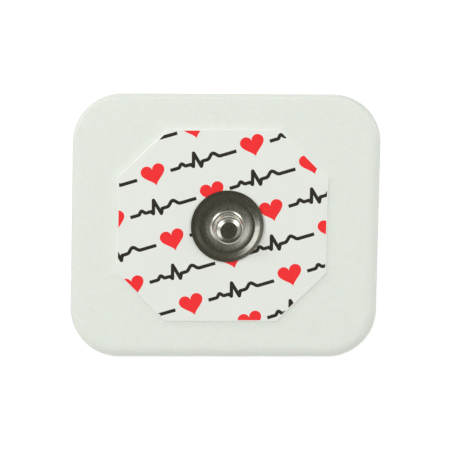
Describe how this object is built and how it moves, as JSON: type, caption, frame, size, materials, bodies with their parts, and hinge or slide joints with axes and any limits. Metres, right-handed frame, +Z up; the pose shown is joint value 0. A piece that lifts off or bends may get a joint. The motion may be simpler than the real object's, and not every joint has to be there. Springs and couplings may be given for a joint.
{
  "type": "ecg electrode",
  "caption": "Single-use chest electrode: foam pad with rounded corners, octagonal printed label and a metal snap stud, on a release liner.",
  "frame": {"origin": "centre of the pad's outline, on the resting face of the release liner", "axes": "+X along the pad's long side, +Y along its short side, +Z up through the snap stud"},
  "size_m": [0.04, 0.035, 0.0051],
  "materials": {
    "liner_film": "clear gloss film",
    "foam": "matte closed-cell foam",
    "gel": "wet, slightly cloudy",
    "eyelet_coating": "grey silver chloride coat",
    "label_film": "satin white film with print",
    "stud_steel": "drawn stainless, satin flange and bright head"
  },
  "bodies": {
    "root": {"release_liner": "liner_film", "foam_pad": "foam", "conductive_gel": "gel", "sensor_eyelet": "eyelet_coating", "label": "label_film", "snap_stud": "stud_steel"}
  },
  "joints": []
}
